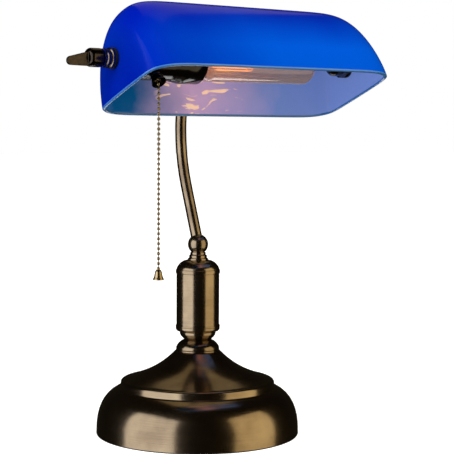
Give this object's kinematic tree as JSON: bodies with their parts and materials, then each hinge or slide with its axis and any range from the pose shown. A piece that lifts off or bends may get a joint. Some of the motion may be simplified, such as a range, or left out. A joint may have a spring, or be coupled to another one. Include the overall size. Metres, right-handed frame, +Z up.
{
  "type": "banker desk lamp",
  "caption": "Desk lamp with a tilting blue glass trough shade on a yoke, pull-chain lampholder, bent stem, turned column and weighted bell base.",
  "frame": {"origin": "centre of the base's round felt face, on the desk", "axes": "+Z up along the column, -Y to the front where the shade opens, +X along the shade to the side away from the pull chain"},
  "size_m": [0.333, 0.2095, 0.3691],
  "materials": {
    "antique_brass": "brushed and lacquered antique bronze",
    "plain_brass": "stamped, unplated",
    "chain_brass": "polished",
    "zinc_steel": "zinc plated",
    "felt": "pressed felt",
    "iron": "as cast",
    "rubber": "moulded",
    "nylon": "moulded",
    "lead_sleeve": "extruded",
    "black_shell": "moulded, glossy",
    "phenolic": "moulded",
    "bulb_nickel": "nickel plated",
    "clear_glass": "clear, blown",
    "filament": "lit",
    "blue_glass": "cased opal glass, fire polished"
  },
  "bodies": {
    "stand": {"felt_pad": "felt", "bottom_plate": "zinc_steel", "plate_screws": "zinc_steel", "base_weight": "iron", "base_shell": "antique_brass", "cable_grommet": "rubber", "terminal_block": "nylon", "threaded_rod": "zinc_steel", "rod_washer": "zinc_steel", "rod_nut": "zinc_steel", "base_collar": "antique_brass", "column_cup": "antique_brass", "column_tube": "antique_brass", "column_cap": "antique_brass", "neck_ring": "antique_brass", "elbow_ball": "antique_brass", "stem_tube": "antique_brass", "yoke_hub": "antique_brass", "yoke_arm_left": "antique_brass", "yoke_arm_right": "antique_brass", "yoke_eye_left": "antique_brass", "yoke_eye_right": "antique_brass", "pivot_nipple": "zinc_steel", "pivot_stud": "zinc_steel", "nipple_nut": "zinc_steel", "washer_left": "antique_brass", "washer_right": "antique_brass", "acorn_nut": "antique_brass", "holder_cap": "antique_brass", "switch_housing": "black_shell", "chain_mouth": "antique_brass", "holder_shell": "black_shell", "switch_case": "phenolic", "switch_cover": "phenolic", "switch_spring": "zinc_steel", "socket_core": "phenolic", "screw_shell": "plain_brass", "centre_contact": "plain_brass", "bulb_cap": "bulb_nickel", "bulb_contact": "bulb_nickel", "bulb_glass": "clear_glass", "bulb_mount": "clear_glass", "filament": "filament", "internal_lead": "lead_sleeve"},
    "shade": {"shade_glass": "blue_glass", "shade_bush_left": "rubber", "shade_bush_right": "rubber"},
    "knob_left": {"knob_left": "antique_brass"},
    "knob_right": {"knob_right": "antique_brass"},
    "pull": {"pull_rod": "plain_brass", "pull_chain": "chain_brass", "chain_bell": "chain_brass"},
    "rotor": {"switch_rotor": "plain_brass"}
  },
  "joints": [
    {"name": "shade_tilt", "type": "hinge", "parent": "stand", "child": "shade", "pos_m": [0, -0.056, 0.322], "axis": [-1, 0, 0], "range_deg": [-40, 30]},
    {"name": "left_knob_turn", "type": "hinge", "parent": "stand", "child": "knob_left", "pos_m": [-0.142, -0.056, 0.322], "axis": [-1, 0, 0], "range_deg": [0, 270]},
    {"name": "right_knob_turn", "type": "hinge", "parent": "stand", "child": "knob_right", "pos_m": [0.142, -0.056, 0.322], "axis": [1, 0, 0], "range_deg": [0, 270]},
    {"name": "chain_pull", "type": "slide", "parent": "stand", "child": "pull", "axis": [0, -0.6691, -0.7431], "range_m": [0, 0.007], "stiffness_N_per_m": 300},
    {"name": "rotor_turn", "type": "hinge", "parent": "stand", "child": "rotor", "pos_m": [-0.092, -0.06061, 0.32615], "axis": [1, 0, 0], "range_deg": [-66, 2]}
  ],
  "couplings": [
    {"joint": "rotor_turn", "follows": "chain_pull", "rad_per_m": -161.29}
  ]
}
